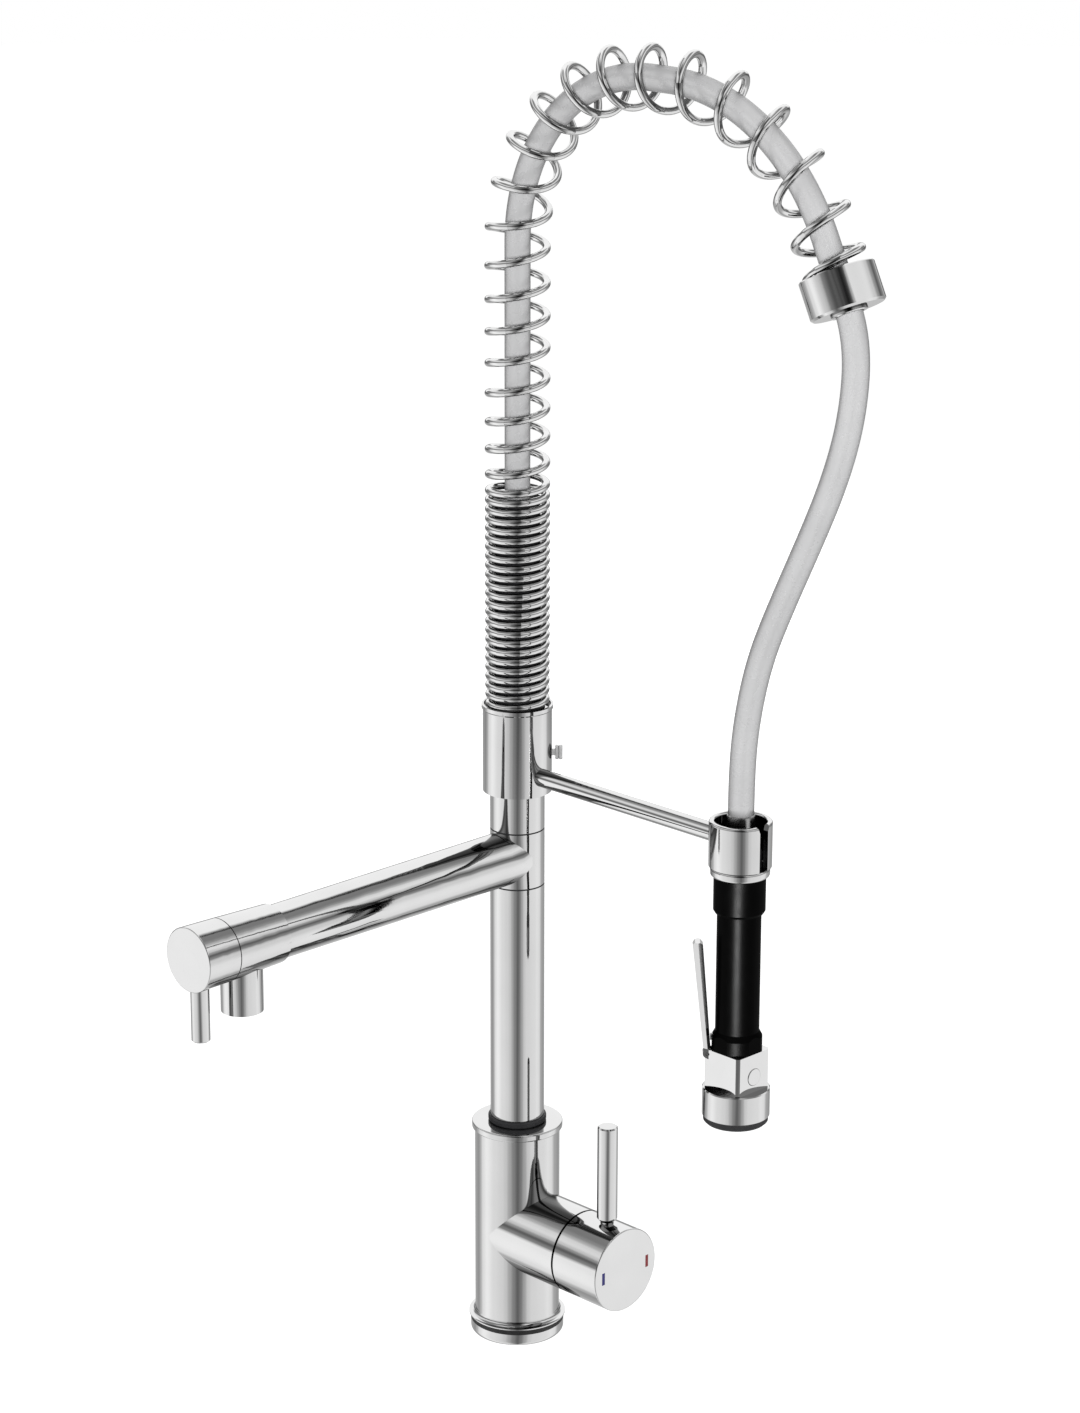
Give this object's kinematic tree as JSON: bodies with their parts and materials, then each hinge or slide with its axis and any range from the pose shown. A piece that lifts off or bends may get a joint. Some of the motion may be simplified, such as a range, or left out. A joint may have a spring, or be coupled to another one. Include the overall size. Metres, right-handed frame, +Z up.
{
  "type": "spring pull-down kitchen faucet with side spout",
  "caption": "Deck-mounted single-lever kitchen mixer with a sprung overhead hose, a pull-down hand spray in a side holder and a swivelling side spout with its own valve.",
  "frame": {"origin": "centre of the foot ring's underside, on the deck", "axes": "+Z up along the column; +X towards the lever and the hand spray; -Y towards the side spout"},
  "size_m": [0.2893, 0.2767, 0.7804],
  "materials": {
    "chrome": "polished",
    "spring_chrome": "polished wire",
    "brass": "machined",
    "black_rubber": "matte",
    "dark_plastic": "matte",
    "grip_black": "satin",
    "hose_grey": "matte",
    "white_ceramic": "lapped",
    "white_plastic": "moulded",
    "blue_enamel": "gloss",
    "red_enamel": "gloss",
    "steel": "bright"
  },
  "bodies": {
    "base": {"base_ring": "chrome", "base_gasket": "black_rubber", "body_shell": "chrome", "body_barrel": "chrome", "valve_column": "brass", "cartridge_barrel": "brass", "top_disc": "chrome", "riser_glide_ring": "dark_plastic", "cartridge_seal": "black_rubber", "cartridge_housing": "white_plastic", "ceramic_disc_fixed": "white_ceramic", "cartridge_nut": "brass"},
    "mixer": {"cartridge_carrier": "white_plastic", "ceramic_disc_turning": "white_ceramic", "lever_pivot_pin": "steel"},
    "handle": {"lever_spindle": "brass", "handle_hub": "chrome", "handle_stick": "chrome", "cold_mark": "blue_enamel", "hot_mark": "red_enamel"},
    "riser": {"riser_shank": "brass", "shank_o_ring": "black_rubber", "riser_lower": "chrome", "riser_core": "brass", "hub_o_ring_lower": "black_rubber", "hub_o_ring_upper": "black_rubber", "seam_ring_lower": "dark_plastic", "seam_ring_upper": "dark_plastic", "riser_upper": "chrome", "hose_fitting": "dark_plastic", "inner_hose": "hose_grey", "support_spring": "spring_chrome", "end_cap": "chrome", "cap_ring": "chrome", "collar": "chrome", "collar_screw": "chrome", "spray_arm": "chrome", "holder_ring": "chrome", "free_hose": "hose_grey"},
    "spout": {"spout_arm": "chrome", "spout_housing": "chrome", "headwork_body": "brass", "headwork_disc_fixed": "white_ceramic", "aerator": "chrome", "aerator_washer": "black_rubber"},
    "knob": {"headwork_disc_turning": "white_ceramic", "headwork_spindle": "brass", "spout_knob": "chrome", "knob_stick": "chrome"},
    "spray_head": {"hose_ferrule": "chrome", "hose_nut": "dark_plastic", "head_collar": "chrome", "grip": "grip_black", "head_tube": "white_plastic", "head_body": "chrome", "side_plug": "chrome", "spray_face": "dark_plastic", "trigger_pin": "steel"},
    "trigger": {"trigger_lever": "chrome"},
    "plunger": {"valve_plunger": "steel"}
  },
  "joints": [
    {"name": "riser_swivel", "type": "hinge", "parent": "base", "child": "riser", "pos_m": [0, 0, 0.1358], "axis": [0, 0, 1], "continuous": true},
    {"name": "spout_swivel", "type": "hinge", "parent": "riser", "child": "spout", "pos_m": [0, 0, 0.3021], "axis": [0, 0, 1], "range_deg": [-250, 68]},
    {"name": "spout_knob_turn", "type": "hinge", "parent": "spout", "child": "knob", "pos_m": [0, -0.2256, 0.3021], "axis": [0, -1, 0], "range_deg": [0, 90]},
    {"name": "temperature_turn", "type": "hinge", "parent": "base", "child": "mixer", "pos_m": [0.02, 0, 0.0676], "axis": [1, 0, 0], "range_deg": [-45, 45]},
    {"name": "flow_tilt", "type": "hinge", "parent": "mixer", "child": "handle", "pos_m": [0.02, 0, 0.0676], "axis": [0, 1, 0], "range_deg": [0, 20]},
    {"name": "head_pull", "type": "slide", "parent": "riser", "child": "spray_head", "axis": [0, 0, -1], "range_m": [0, 0.1], "stiffness_N_per_m": 60, "springref_m": -0.1, "deforming": ["free_hose"]},
    {"name": "trigger_squeeze", "type": "hinge", "parent": "spray_head", "child": "trigger", "pos_m": [0.1629, -0.0116, 0.229], "axis": [-0.7071, 0.7071, 0], "range_deg": [0, 5.5], "stiffness_Nm_per_rad": 0.5, "springref_deg": -8.59},
    {"name": "plunger_slide", "type": "slide", "parent": "spray_head", "child": "plunger", "axis": [0.7071, 0.7071, 0], "range_m": [0, 0.00093]}
  ],
  "couplings": [
    {"joint": "plunger_slide", "follows": "trigger_squeeze", "m_per_rad": 0.0095}
  ]
}
